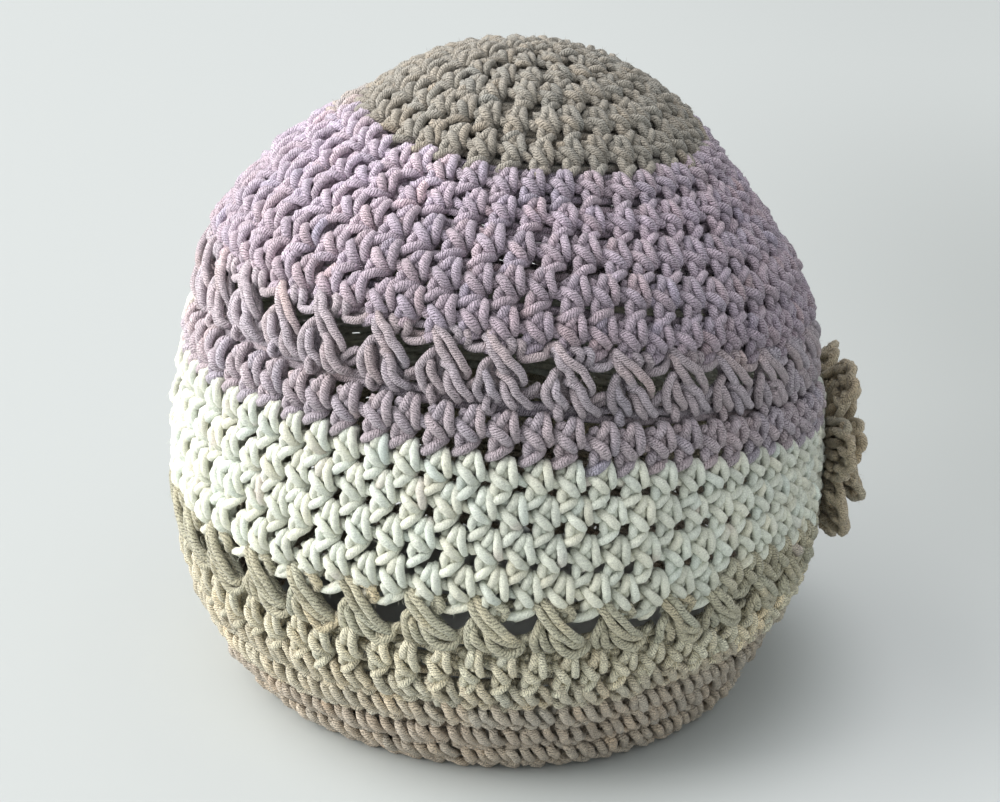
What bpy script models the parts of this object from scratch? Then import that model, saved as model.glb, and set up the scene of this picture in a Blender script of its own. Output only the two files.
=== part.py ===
"""Crochet beanie with a sewn-on crochet flower. Metres, +Z up, rim on the floor at z = 0, the flower at -X.

Every place on the hat is (turn, along, out): the angle round it, the distance up the wall from the rim and the
distance out from the middle of the wall. RINGS gives the shape that the wall follows, and the pieces are cut from it.
"""
import bpy
import bmesh
import math
import numpy as np

for ob in list(bpy.data.objects):
    bpy.data.objects.remove(ob, do_unlink=True)

MM = 0.001
WALL = 4.4  # mm, the thickness of a worked round
INSET = 2.6  # mm, the middle of the wall lies this far inside the rings
GAP = 0.4  # mm along the wall between two pieces
DEPTH_RATIO = 1.06  # front to back over side to side
AROUND = 68  # facets round the hat, one per stitch
SHIFT_X, SHIFT_Y = 4.96, 0.4  # mm, centres the box of the whole part

# One row per ring of the wall. mm; lean is height gained per mm across.
RING_COLUMNS = ("along", "height", "half_width", "shift_x", "shift_y", "lean_x", "lean_y")
RINGS = (
    (0, 0.0, 73.2, 0.4, -4.2, 0.000, 0.000),
    (18, 17.2, 82.0, 1.2, -1.9, -0.030, 0.016),
    (36, 35.6, 90.0, 1.3, -0.7, -0.010, 0.052),
    (50, 50.2, 92.8, 1.6, -0.4, 0.030, 0.098),
    (71, 71.2, 92.3, 1.6, -0.5, 0.052, 0.123),
    (92, 91.0, 90.5, 1.5, -0.4, 0.072, 0.133),
    (103, 101.4, 88.7, 1.0, -0.4, 0.080, 0.138),
    (122, 118.8, 84.8, -0.2, -0.4, 0.104, 0.138),
    (140, 134.7, 76.4, -1.4, -0.7, 0.102, 0.108),
    (157, 150.0, 62.4, -2.5, -1.1, 0.094, 0.052),
    (173, 163.6, 46.6, -3.4, -1.3, 0.062, 0.018),
    (190, 174.0, 33.0, -2.6, -0.8, 0.038, 0.018),
    (206, 181.2, 17.6, -1.2, 0.1, 0.014, 0.030),
    (220, 184.4, 0.0, 0.0, 1.0, 0.000, 0.040),
)

# One row per worked piece: where it starts and ends up the wall, and its facets in that direction.
BAND_COLUMNS = ("name", "low", "high", "steps")
BANDS = (
    ("brim", 0.0, 25.0, 2),
    ("lower_body", 25.0, 42.0, 2),
    ("white_band", 52.0, 92.4, 3),
    ("mauve_round", 92.4, 103.5, 1),
    ("upper_body", 122.5, 173.0, 4),
)

# One row per openwork round: the windows are holes between two crossed pairs of stitches.
CROSSED_COLUMNS = ("name", "low", "high", "window_low", "window_high", "pairs", "first_turn", "window_share")
CROSSED = (
    ("lower_crossed_round", 42.0, 52.0, 45.6, 50.2, 34, 0.0, 0.46),
    ("upper_crossed_round", 103.5, 122.5, 109.8, 117.6, 34, 0.0, 0.40),
)

CROWN_LOW, CROWN_HIGH = 173.0, 220.0
CROWN_STEPS = (0.0, 0.26, 0.50, 0.71, 0.89)

# The flower lies on the wall round one point of it.
FLOWER_TURN, FLOWER_ALONG = 184.5, 73.0  # degrees, mm
# One row per layer: radius to the petal tips and to the notches, petals, start angle, foot over the wall, lift at the tips, thickness.
PETAL_COLUMNS = ("name", "tip", "notch", "petals", "start", "foot", "lift", "thick", "facets")
PETALS = (
    ("flower_outer_petals", 32.0, 24.0, 7, 12.0, 2.7, 5.2, 3.8, 56),
    ("flower_inner_petals", 20.5, 15.5, 6, 40.0, 7.0, 4.6, 3.6, 48),
)
CENTRE = {"name": "flower_centre", "radius": 8.0, "foot": 11.7, "dome": 4.6, "facets": 24}

TABLE = np.array(RINGS, float)


def ring(along):
    """The ring values at a distance along the wall, and their slopes: a smooth curve through RINGS."""
    x, y = TABLE[:, 0], TABLE[:, 1:]
    slopes = np.empty_like(y)
    slopes[1:-1] = (y[2:] - y[:-2]) / (x[2:] - x[:-2])[:, None]
    slopes[0] = (y[1] - y[0]) / (x[1] - x[0])
    slopes[-1] = (y[-1] - y[-2]) / (x[-1] - x[-2])
    slopes[-1, 0] = 0.05  # the top is round, not pointed
    k = int(np.clip(np.searchsorted(x, along, side="right") - 1, 0, len(x) - 2))
    h = x[k + 1] - x[k]
    t = (along - x[k]) / h
    a = y[k] * (2 * t**3 - 3 * t**2 + 1) + y[k + 1] * (3 * t**2 - 2 * t**3)
    a = a + h * (slopes[k] * (t**3 - 2 * t**2 + t) + slopes[k + 1] * (t**3 - t**2))
    d = (y[k] * (6 * t**2 - 6 * t) + y[k + 1] * (6 * t - 6 * t**2)) / h
    d = d + slopes[k] * (3 * t**2 - 4 * t + 1) + slopes[k + 1] * (3 * t**2 - 2 * t)
    return a, d


def place(turn, along, out):
    """A point of the hat in metres. turn is in radians."""
    (height, half, sx, sy, lx, ly), slope = ring(along)
    c, s = math.cos(turn), math.sin(turn)
    n_out, n_up = slope[0], -slope[1]
    n_up *= min(1.0, along / 12.0) ** 2  # the rim's edge is cut level
    size = math.hypot(n_out, n_up)
    out -= INSET
    n_out, n_up = n_out / size, n_up / size
    x, y = half * c, half * DEPTH_RATIO * s
    up = height + lx * x + ly * y + out * n_up
    return (
        (x + sx + out * n_out * c + SHIFT_X) * MM,
        (y + sy + out * n_out * s + SHIFT_Y) * MM,
        up * MM,
    )


def solid(name, points, faces):
    """One closed body with its faces outward."""
    mesh = bpy.data.meshes.new(name)
    bm = bmesh.new()
    made = [bm.verts.new(p) for p in points]
    for face in faces:
        bm.faces.new([made[i] for i in face])
    loose = [v for v in bm.verts if not v.link_faces]
    bmesh.ops.delete(bm, geom=loose, context="VERTS")
    bmesh.ops.recalc_face_normals(bm, faces=bm.faces[:])
    if bm.calc_volume(signed=True) < 0:
        bmesh.ops.reverse_faces(bm, faces=bm.faces[:])
    bm.to_mesh(mesh)
    bm.free()
    made_object = bpy.data.objects.new(name, mesh)
    bpy.context.scene.collection.objects.link(made_object)
    made_object.data.materials.append(material(name))
    return made_object


# linear base colour per piece
COLOURS = {
    "crown": (0.32, 0.27, 0.22),
    "upper_body": (0.44, 0.35, 0.41),
    "upper_crossed_round": (0.31, 0.24, 0.27),
    "mauve_round": (0.30, 0.23, 0.26),
    "white_band": (0.76, 0.76, 0.69),
    "lower_crossed_round": (0.42, 0.36, 0.27),
    "lower_body": (0.40, 0.33, 0.26),
    "brim": (0.36, 0.25, 0.23),
    "flower_outer_petals": (0.21, 0.16, 0.12),
    "flower_inner_petals": (0.22, 0.17, 0.13),
    "flower_centre": (0.24, 0.18, 0.14),
}


def material(name):
    made = bpy.data.materials.new(name)
    made.use_nodes = True
    shader = made.node_tree.nodes["Principled BSDF"]
    shader.inputs["Base Color"].default_value = COLOURS[name] + (1.0,)
    shader.inputs["Roughness"].default_value = 0.9
    return made


def sheet(name, turns, alongs, filled):
    """A closed sheet of the wall's thickness round the hat. filled(row, column) says which cells are solid."""
    columns, rows = len(turns), len(alongs)
    points = [place(t, a, side * WALL / 2) for side in (1, -1) for a in alongs for t in turns]

    def at(side, row, column):
        return (side * rows + row) * columns + column % columns

    faces = []
    for r in range(rows - 1):
        for c in range(columns):
            if not filled(r, c):
                continue
            corner = ((r, c), (r, c + 1), (r + 1, c + 1), (r + 1, c))
            faces.append([at(0, *p) for p in corner])
            faces.append([at(1, *p) for p in reversed(corner)])
            beside = ((r - 1, c), (r, c + 1), (r + 1, c), (r, c - 1))
            for k, (r2, c2) in enumerate(beside):
                if 0 <= r2 < rows - 1 and filled(r2, c2 % columns):
                    continue
                p, q = corner[k], corner[(k + 1) % 4]
                faces.append([at(0, *q), at(0, *p), at(1, *p), at(1, *q)])
    return solid(name, points, faces)


even_turns = [2 * math.pi * k / AROUND for k in range(AROUND)]
for name, low, high, steps in BANDS:
    start = low + (GAP / 2 if low > 0 else 0.0)
    sheet(name, even_turns, list(np.linspace(start, high - GAP / 2, steps + 1)), lambda r, c: True)

for name, low, high, window_low, window_high, pairs, first, share in CROSSED:
    turns = []
    for k in range(pairs):
        middle = first + 360.0 / pairs * k
        half = 180.0 / pairs * share
        turns += [math.radians(middle - half), math.radians(middle + half)]
    alongs = [low + GAP / 2, window_low, window_high, high - GAP / 2]
    sheet(name, turns, alongs, lambda r, c: not (r == 1 and c % 2 == 0))

# The crown closes at the top, outside and inside.
alongs = [CROWN_LOW + GAP / 2 + (CROWN_HIGH - CROWN_LOW) * t for t in CROWN_STEPS]
rows = len(alongs)
points = [place(t, a, side * WALL / 2) for side in (1, -1) for a in alongs for t in even_turns]
points += [place(0.0, CROWN_HIGH, WALL / 2), place(0.0, CROWN_HIGH, -WALL / 2)]
faces = []
for c in range(AROUND):
    d = (c + 1) % AROUND
    for r in range(rows - 1):
        a, b = r * AROUND, (r + 1) * AROUND
        faces.append([a + c, a + d, b + d, b + c])
        a, b = (rows + r) * AROUND, (rows + r + 1) * AROUND
        faces.append([b + c, b + d, a + d, a + c])
    faces.append([c, rows * AROUND + c, rows * AROUND + d, d])
    faces.append([(rows - 1) * AROUND + c, (rows - 1) * AROUND + d, 2 * rows * AROUND])
    faces.append([(2 * rows - 1) * AROUND + d, (2 * rows - 1) * AROUND + c, 2 * rows * AROUND + 1])
solid("crown", points, faces)


def on_flower(radius, angle, out):
    """A point over the wall at a radius and angle round the flower's middle, in mm and radians."""
    half = ring(FLOWER_ALONG)[0][1] + 4.0
    turn = math.radians(FLOWER_TURN) + radius * math.cos(angle) / half
    return place(turn, FLOWER_ALONG + radius * math.sin(angle), out)


for name, tip, notch, petals, start, foot, lift, thick, facets in PETALS:
    shares = (0.42, 0.80, 1.0)
    points = []
    for side in (1, 0):
        for share in shares:
            for k in range(facets):
                angle = 2 * math.pi * k / facets
                lobe = abs(math.cos(petals * (angle - math.radians(start)) / 2)) ** 0.7
                edge = notch + (tip - notch) * lobe
                reach = share * edge
                rounded = 0.75 if share == 1.0 else 1.0
                out = foot + lift * (reach / tip) ** 2 + (thick * rounded if side else thick * (1 - rounded))
                out += (0.5 * (lobe - 1.0) * share) if side else 0.0
                points.append(on_flower(reach, angle, out))
    points += [on_flower(0.0, 0.0, foot + thick), on_flower(0.0, 0.0, foot)]
    rows, faces = len(shares), []
    for k in range(facets):
        d = (k + 1) % facets
        for r in range(rows - 1):
            for side in (0, 1):
                a, b = (side * rows + r) * facets, (side * rows + r + 1) * facets
                faces.append([a + k, b + k, b + d, a + d] if side == 0 else [a + d, b + d, b + k, a + k])
        a, b = (rows - 1) * facets, (2 * rows - 1) * facets
        faces.append([a + d, a + k, b + k, b + d])
        faces.append([k, d, 2 * rows * facets])
        faces.append([rows * facets + d, rows * facets + k, 2 * rows * facets + 1])
    solid(name, points, faces)

# The flower's middle is a low dome on a flat foot.
facets = CENTRE["facets"]
profile = ((1.0, 0.0), (1.0, 0.35), (0.82, 0.72), (0.48, 0.95))
points = []
for share, up in profile:
    for k in range(facets):
        points.append(on_flower(CENTRE["radius"] * share, 2 * math.pi * k / facets, CENTRE["foot"] + CENTRE["dome"] * up))
points += [on_flower(0.0, 0.0, CENTRE["foot"] + CENTRE["dome"]), on_flower(0.0, 0.0, CENTRE["foot"])]
faces = []
for k in range(facets):
    d = (k + 1) % facets
    for r in range(len(profile) - 1):
        faces.append([r * facets + k, r * facets + d, (r + 1) * facets + d, (r + 1) * facets + k])
    faces.append([(len(profile) - 1) * facets + k, (len(profile) - 1) * facets + d, len(profile) * facets])
    faces.append([d, k, len(profile) * facets + 1])
solid(CENTRE["name"], points, faces)

low = np.array([np.min([(ob.matrix_world @ v.co)[:] for v in ob.data.vertices], axis=0) for ob in bpy.data.objects]).min(axis=0)
high = np.array([np.max([(ob.matrix_world @ v.co)[:] for v in ob.data.vertices], axis=0) for ob in bpy.data.objects]).max(axis=0)
print("box mm", (low / MM).round(2), (high / MM).round(2), "triangles", sum(len(p.vertices) - 2 for ob in bpy.data.objects for p in ob.data.polygons))
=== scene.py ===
"""Looks of the crochet beanie, round its packed construction. Millimetres until a mesh is made, then metres."""

import bpy
import math
import numpy as np
from mathutils import Matrix, Vector


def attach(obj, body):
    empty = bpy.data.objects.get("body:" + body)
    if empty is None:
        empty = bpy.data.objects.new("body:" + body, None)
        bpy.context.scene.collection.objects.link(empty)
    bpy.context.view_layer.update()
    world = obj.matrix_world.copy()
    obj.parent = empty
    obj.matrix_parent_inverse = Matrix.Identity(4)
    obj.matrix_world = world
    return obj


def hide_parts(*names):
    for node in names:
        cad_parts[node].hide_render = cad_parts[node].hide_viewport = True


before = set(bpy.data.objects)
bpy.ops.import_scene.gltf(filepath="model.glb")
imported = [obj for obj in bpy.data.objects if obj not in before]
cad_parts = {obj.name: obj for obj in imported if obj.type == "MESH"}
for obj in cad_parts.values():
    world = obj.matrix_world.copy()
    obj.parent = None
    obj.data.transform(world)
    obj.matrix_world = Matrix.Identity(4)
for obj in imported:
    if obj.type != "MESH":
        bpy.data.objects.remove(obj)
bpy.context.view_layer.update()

MM = 0.001
DEPTH_RATIO = 1.06
SHIFT_X, SHIFT_Y = 4.96, 0.4
INSET = 2.6  # mm, the middle of the wall lies this far inside the rings
SIDES = 6
STEP = 1.2  # mm between two cross-sections of the yarn where it bends
STEPS = {"upper_body": 1.74, "white_band": 1.60}

# The rings that the wall follows, as the construction has them. mm; lean is height gained per mm across.
RING_COLUMNS = ("along", "height", "half_width", "shift_x", "shift_y", "lean_x", "lean_y")
RINGS = (
    (0, 0.0, 73.2, 0.4, -4.2, 0.000, 0.000),
    (18, 17.2, 82.0, 1.2, -1.9, -0.030, 0.016),
    (36, 35.6, 90.0, 1.3, -0.7, -0.010, 0.052),
    (50, 50.2, 92.8, 1.6, -0.4, 0.030, 0.098),
    (71, 71.2, 92.3, 1.6, -0.5, 0.052, 0.123),
    (92, 91.0, 90.5, 1.5, -0.4, 0.072, 0.133),
    (103, 101.4, 88.7, 1.0, -0.4, 0.080, 0.138),
    (122, 118.8, 84.8, -0.2, -0.4, 0.104, 0.138),
    (140, 134.7, 76.4, -1.4, -0.7, 0.102, 0.108),
    (157, 150.0, 62.4, -2.5, -1.1, 0.094, 0.052),
    (173, 163.6, 46.6, -3.4, -1.3, 0.062, 0.018),
    (190, 174.0, 33.0, -2.6, -0.8, 0.038, 0.018),
    (206, 181.2, 17.6, -1.2, 0.1, 0.014, 0.030),
    (220, 184.4, 0.0, 0.0, 1.0, 0.000, 0.040),
)
TABLE = np.array(RINGS, float)


def curve_table():
    """Values and slopes of every ring column at each quarter millimetre up the wall."""
    x, y = TABLE[:, 0], TABLE[:, 1:]
    slopes = np.empty_like(y)
    slopes[1:-1] = (y[2:] - y[:-2]) / (x[2:] - x[:-2])[:, None]
    slopes[0] = (y[1] - y[0]) / (x[1] - x[0])
    slopes[-1] = (y[-1] - y[-2]) / (x[-1] - x[-2])
    slopes[-1, 0] = 0.05
    q = np.arange(0, 220.01, 0.25)
    k = np.clip(np.searchsorted(x, q, side="right") - 1, 0, len(x) - 2)
    h = (x[k + 1] - x[k])[:, None]
    t = (q - x[k])[:, None] / h
    a = y[k] * (2 * t**3 - 3 * t**2 + 1) + y[k + 1] * (3 * t**2 - 2 * t**3)
    a = a + h * (slopes[k] * (t**3 - 2 * t**2 + t) + slopes[k + 1] * (t**3 - t**2))
    d = (y[k] * (6 * t**2 - 6 * t) + y[k + 1] * (6 * t - 6 * t**2)) / h
    d = d + slopes[k] * (3 * t**2 - 4 * t + 1) + slopes[k + 1] * (3 * t**2 - 2 * t)
    return q, a, d


ALONG, VALUE, SLOPE = curve_table()


def place(turn, along, out):
    """Points of the hat, in mm. Arrays of the angle round it (radians), the distance up the wall and out from its middle."""
    turn, along, out = np.broadcast_arrays(*(np.asarray(v, float) for v in (turn, along, out)))
    height, half, sx, sy, lx, ly = (np.interp(along, ALONG, VALUE[:, k]) for k in range(6))
    rise, spread = (np.interp(along, ALONG, SLOPE[:, k]) for k in range(2))
    over = along - np.clip(along, 0, 220)
    out = out - INSET
    c, s = np.cos(turn), np.sin(turn)
    n_out, n_up = rise, -spread * np.clip(along / 12.0, 0, 1) ** 2
    size = np.hypot(n_out, n_up)
    n_out, n_up = n_out / size, n_up / size
    half = half + spread * over
    x, y = half * c, half * DEPTH_RATIO * s
    up = height + rise * over + lx * x + ly * y + out * n_up
    return np.stack([x + sx + out * n_out * c + SHIFT_X, y + sy + out * n_out * s + SHIFT_Y, up], -1)


# ---------------------------------------------------------------- stitches
# Yarn paths. across: 0 to 1 over one stitch, left to right from outside. up: 0 at this round's chain, 1 at the chain above. out: mm.
PATH_COLUMNS = ("across", "up", "out", "girth")
HALF_DOUBLE = (
    # the bar behind the gap, then up behind the chain
    (-0.30, 0.40, -0.9, 0.9), (-0.18, 0.33, -0.4, 1.0), (-0.04, 0.27, -0.5, 1.0), (0.10, 0.24, -1.2, 0.9), (0.10, 0.48, -1.5, 0.9), (0.02, 0.64, -0.8, 0.95), (0.10, 0.68, -0.1, 1.0), (0.20, 0.62, -0.8, 0.9),
    # left post
    (0.18, 0.48, -0.9, 0.85), (0.20, 0.41, 0.2, 0.9), (0.25, 0.50, 1.3, 1.02), (0.31, 0.62, 2.0, 1.12), (0.37, 0.73, 2.0, 1.12), (0.40, 0.80, 1.3, 1.04), (0.42, 0.82, 0.1, 0.95),
    # what shows between the two posts
    (0.45, 0.76, -0.9, 0.9), (0.46, 0.66, -0.1, 0.95), (0.44, 0.54, 0.9, 1.05), (0.41, 0.42, 1.1, 1.05), (0.43, 0.33, 0.4, 0.95), (0.48, 0.42, -1.2, 0.85),
    # right post
    (0.52, 0.68, -1.3, 0.9), (0.535, 0.80, -0.6, 0.92), (0.55, 0.82, 0.5, 1.0), (0.565, 0.77, 1.7, 1.07), (0.59, 0.65, 2.4, 1.1), (0.62, 0.50, 2.6, 1.1), (0.65, 0.34, 2.3, 1.06), (0.67, 0.24, 1.5, 1.0), (0.675, 0.17, 0.2, 0.9), (0.64, 0.20, -1.1, 0.85),
    # foot, right to left over the chain below
    (0.58, 0.08, -1.2, 0.85), (0.55, -0.02, 0.0, 0.92), (0.48, -0.07, 1.3, 1.02), (0.36, -0.13, 2.1, 1.12), (0.23, -0.21, 2.3, 1.12), (0.10, -0.30, 1.8, 1.02), (0.01, -0.37, 0.6, 0.9), (0.00, -0.34, -0.7, 0.85),
    # foot, up again on the left and down in its middle
    (0.10, -0.25, -0.3, 0.9), (0.145, -0.15, 0.8, 1.0), (0.12, -0.03, 1.6, 1.1), (0.13, 0.10, 1.7, 1.1), (0.18, 0.20, 1.0, 1.0), (0.27, 0.20, 0.4, 0.95), (0.32, 0.08, 0.9, 1.05), (0.34, -0.04, 0.8, 1.05), (0.33, -0.08, -0.5, 0.9),
    (0.22, 0.20, -1.4, 0.85),
    # the leaning strand in front
    (0.06, 0.44, -1.2, 0.85), (0.02, 0.47, 0.0, 0.9), (0.06, 0.445, 1.3, 1.02), (0.17, 0.365, 2.4, 1.17), (0.30, 0.265, 2.8, 1.22), (0.42, 0.165, 2.3, 1.17), (0.50, 0.085, 1.2, 1.0), (0.53, 0.03, -0.2, 0.88), (0.60, 0.18, -1.5, 0.85),
)
SINGLE = (
    (-0.36, 0.20, -1.3, 0.9), (-0.28, 0.50, -1.4, 0.9), (-0.21, 0.72, -0.7, 0.95),
    (-0.17, 0.83, 0.3, 1.05), (-0.11, 0.82, 1.4, 1.18), (0.00, 0.70, 2.2, 1.26), (0.12, 0.52, 2.5, 1.26), (0.24, 0.36, 2.1, 1.2), (0.33, 0.26, 0.9, 1.05), (0.34, 0.19, -0.8, 0.9),
    (0.26, 0.45, -1.4, 0.9), (0.30, 0.68, -0.8, 0.95),
    (0.35, 0.80, 0.2, 1.0), (0.41, 0.80, 1.2, 1.12), (0.50, 0.69, 1.9, 1.2), (0.62, 0.53, 2.1, 1.2), (0.74, 0.37, 1.8, 1.16), (0.84, 0.27, 0.8, 1.05), (0.86, 0.17, -0.6, 0.95),
    (0.81, 0.08, -0.2, 1.0), (0.70, 0.02, 0.5, 1.08), (0.56, 0.04, 0.9, 1.12), (0.43, 0.11, 0.5, 1.05), (0.37, 0.09, -0.6, 0.9), (0.30, 0.02, 0.0, 0.95),
    (0.19, -0.02, 0.7, 1.1), (0.05, 0.02, 1.0, 1.14), (-0.08, 0.11, 0.5, 1.05), (-0.12, 0.16, -0.7, 0.9),
)
CROSSED_LOW = (
    # front stitch, upper strand
    (0.27, 1.12, 0.4, 0.95), (0.31, 1.08, 1.7, 1.05), (0.37, 0.98, 2.5, 1.12), (0.50, 0.76, 3.0, 1.15), (0.65, 0.53, 3.0, 1.15), (0.79, 0.35, 2.6, 1.1), (0.88, 0.23, 1.6, 1.0), (0.91, 0.15, 0.2, 0.92), (0.82, 0.14, -1.0, 0.9),
    (0.60, 0.45, -1.2, 0.9), (0.38, 0.84, -1.0, 0.9), (0.23, 1.00, -0.4, 0.92),
    # front stitch, lower strand
    (0.19, 1.02, 0.7, 1.0), (0.22, 0.95, 1.8, 1.08), (0.28, 0.82, 2.4, 1.12), (0.40, 0.59, 2.7, 1.15), (0.53, 0.41, 2.7, 1.15), (0.67, 0.27, 2.6, 1.12), (0.80, 0.185, 2.3, 1.08), (0.91, 0.15, 1.6, 1.0), (0.97, 0.12, 0.3, 0.92), (0.88, 0.04, -0.9, 0.9),
    (0.68, 0.20, -1.2, 0.9), (0.50, 0.42, -0.6, 0.9),
    # its foot
    (0.43, 0.42, 0.6, 0.95), (0.47, 0.31, 1.8, 1.08), (0.56, 0.15, 2.3, 1.15), (0.68, 0.01, 2.4, 1.15), (0.82, -0.06, 2.3, 1.12), (0.94, -0.01, 1.8, 1.05), (1.02, 0.08, 0.8, 0.95), (1.00, 0.20, -0.2, 0.9),
    # bar under the window, then back behind
    (1.03, 0.21, 0.2, 0.95), (1.11, 0.26, 0.2, 0.95), (1.19, 0.31, -0.5, 0.9), (1.10, 0.12, -1.3, 0.9), (0.90, 0.08, -1.5, 0.95), (0.62, 0.12, -1.5, 0.95), (0.42, 0.30, -1.3, 0.9), (0.33, 0.52, -0.7, 0.9),
    # back stitch, its left leg and its right leg
    (0.31, 0.61, 0.3, 0.95), (0.26, 0.58, 1.2, 1.05), (0.20, 0.46, 1.7, 1.1), (0.175, 0.30, 1.8, 1.1), (0.19, 0.12, 1.6, 1.1), (0.24, -0.02, 0.8, 1.0), (0.30, -0.04, -0.6, 0.9),
    (0.38, 0.15, -1.2, 0.9), (0.34, 0.40, -0.8, 0.9), (0.30, 0.50, 0.4, 0.95), (0.285, 0.41, 1.6, 1.08), (0.31, 0.26, 2.1, 1.15), (0.37, 0.11, 2.0, 1.15), (0.45, 0.00, 1.1, 1.02), (0.50, -0.06, -0.3, 0.9),
    (0.56, 0.14, -1.3, 0.95), (0.52, 0.50, -1.4, 1.0), (0.44, 0.84, -1.0, 0.95),
    # its top behind the front stitch
    (0.47, 0.98, 0.2, 0.95), (0.54, 1.03, 1.1, 1.05), (0.64, 1.01, 1.6, 1.12), (0.72, 0.92, 1.7, 1.12), (0.735, 0.78, 1.4, 1.08), (0.68, 0.67, 0.7, 1.0), (0.60, 0.70, 0.0, 0.95), (0.57, 0.84, 0.6, 1.0), (0.62, 0.88, 1.0, 1.0), (0.66, 0.78, 0.2, 0.95),
    # the chain over the window
    (0.72, 0.68, -0.2, 0.95), (0.84, 0.71, 0.7, 1.05), (0.98, 0.78, 1.0, 1.1), (1.10, 0.86, 0.9, 1.05), (1.20, 0.94, 0.1, 0.95), (1.24, 1.05, -0.5, 0.9),
)
CROSSED_TALL = (
    (0.21, 1.03, 0.5, 0.95), (0.25, 0.99, 1.7, 1.05), (0.36, 0.885, 2.5, 1.12), (0.48, 0.78, 3.0, 1.15), (0.60, 0.68, 3.1, 1.15), (0.72, 0.57, 3.0, 1.12), (0.81, 0.47, 2.5, 1.06), (0.845, 0.39, 1.4, 1.0), (0.82, 0.33, 0.0, 0.92), (0.72, 0.36, -1.0, 0.9),
    (0.50, 0.60, -1.2, 0.95), (0.30, 0.82, -1.0, 0.95), (0.19, 0.95, -0.4, 0.92),
    (0.19, 0.94, 0.8, 1.0), (0.24, 0.875, 1.8, 1.08), (0.31, 0.76, 2.3, 1.12), (0.40, 0.65, 2.4, 1.12), (0.50, 0.54, 2.2, 1.08), (0.58, 0.47, 1.4, 1.0), (0.60, 0.42, 0.2, 0.92), (0.50, 0.44, -0.8, 0.9),
    (0.44, 0.46, 0.2, 0.95), (0.50, 0.455, 1.6, 1.08), (0.60, 0.43, 2.3, 1.12), (0.68, 0.35, 2.6, 1.15), (0.74, 0.24, 2.6, 1.15), (0.83, 0.14, 2.3, 1.1), (0.92, 0.08, 1.6, 1.0), (0.98, 0.055, 0.3, 0.92), (0.88, 0.10, -0.9, 0.9),
    (0.62, 0.34, -0.8, 0.9), (0.54, 0.38, 0.3, 0.95), (0.56, 0.28, 1.6, 1.08), (0.61, 0.16, 2.0, 1.12), (0.70, 0.06, 1.7, 1.05), (0.77, 0.01, 0.6, 0.95), (0.74, 0.06, -0.9, 0.9),
    (0.85, 0.16, -0.6, 0.95), (0.92, 0.23, 0.2, 1.0), (1.02, 0.31, 0.3, 1.0), (1.13, 0.36, -0.4, 0.95), (1.02, 0.18, -1.3, 0.95), (0.76, 0.16, -1.5, 1.0), (0.46, 0.26, -1.4, 1.0), (0.34, 0.50, -1.0, 0.95),
    (0.31, 0.61, 0.2, 0.95), (0.25, 0.60, 1.2, 1.05), (0.17, 0.50, 1.7, 1.1), (0.13, 0.36, 1.8, 1.12), (0.15, 0.21, 1.6, 1.1), (0.22, 0.10, 0.9, 1.0), (0.29, 0.05, -0.4, 0.9),
    (0.30, 0.30, -1.1, 0.95), (0.23, 0.48, -0.4, 0.92), (0.205, 0.50, 0.7, 1.0), (0.23, 0.44, 1.9, 1.1), (0.29, 0.32, 2.3, 1.15), (0.37, 0.21, 2.1, 1.12), (0.46, 0.12, 1.2, 1.0), (0.50, 0.07, 0.0, 0.92),
    (0.42, 0.09, -0.8, 0.9), (0.31, 0.15, 0.1, 0.95), (0.31, 0.05, 1.3, 1.08), (0.34, -0.04, 1.2, 1.05), (0.38, -0.08, 0.0, 0.92), (0.42, 0.05, -1.2, 0.95),
    (0.40, 0.40, -1.4, 1.0), (0.43, 0.78, -1.0, 0.95), (0.45, 0.94, 0.0, 0.95), (0.51, 0.99, 1.1, 1.05), (0.585, 0.95, 1.7, 1.12), (0.61, 0.86, 1.5, 1.08), (0.57, 0.78, 0.5, 0.95), (0.60, 0.80, -0.7, 0.9), (0.655, 0.93, -0.1, 0.95),
    (0.71, 0.97, 1.0, 1.05), (0.77, 0.92, 1.5, 1.1), (0.785, 0.84, 1.1, 1.05), (0.73, 0.755, 0.2, 0.95), (0.80, 0.72, 0.5, 1.0), (0.92, 0.73, 1.0, 1.08), (1.05, 0.76, 1.0, 1.08), (1.15, 0.83, 0.3, 0.98), (1.19, 0.95, -0.5, 0.9),
)
EDGE_CHAIN = (
    (-0.10, 0.4, -0.9, 0.9), (0.10, 0.8, -0.3, 0.95), (0.30, 0.9, 0.7, 1.0), (0.55, 0.5, 1.1, 1.05), (0.80, 0.1, 0.8, 1.0), (0.90, 0.0, -0.2, 0.95),
    (0.60, 0.1, -0.8, 0.9), (0.40, 0.4, 0.0, 0.95), (0.60, 0.2, 0.9, 1.0), (0.85, 0.5, 0.2, 0.95),
)
HALF_DOUBLE_OVER = tuple((u, v, o - 1.5 if v < 0.0 else o, g) for u, v, o, g in HALF_DOUBLE)
# The crown's stitches sit closer: the bars between two stitches come forward and fill the gaps.
HALF_DOUBLE_CLOSE = tuple((u, v, o + (1.3 if k < 8 else 0.0), g * (1.18 if k < 8 else 1.0)) for k, (u, v, o, g) in enumerate(HALF_DOUBLE))
# Fuller: the two posts stand further apart and the bars between two stitches show more.
HALF_DOUBLE_FULL = tuple((u if k < 8 else 0.42 + (u - 0.42) * 1.2, v, o + (1.1 if k < 8 else 0.0), g * (1.15 if k < 8 else 1.07)) for k, (u, v, o, g) in enumerate(HALF_DOUBLE))
HALF_DOUBLE_FULL_OVER = tuple((u, v, o - 1.5 if v < 0.0 else o, g) for u, v, o, g in HALF_DOUBLE_FULL)
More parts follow.
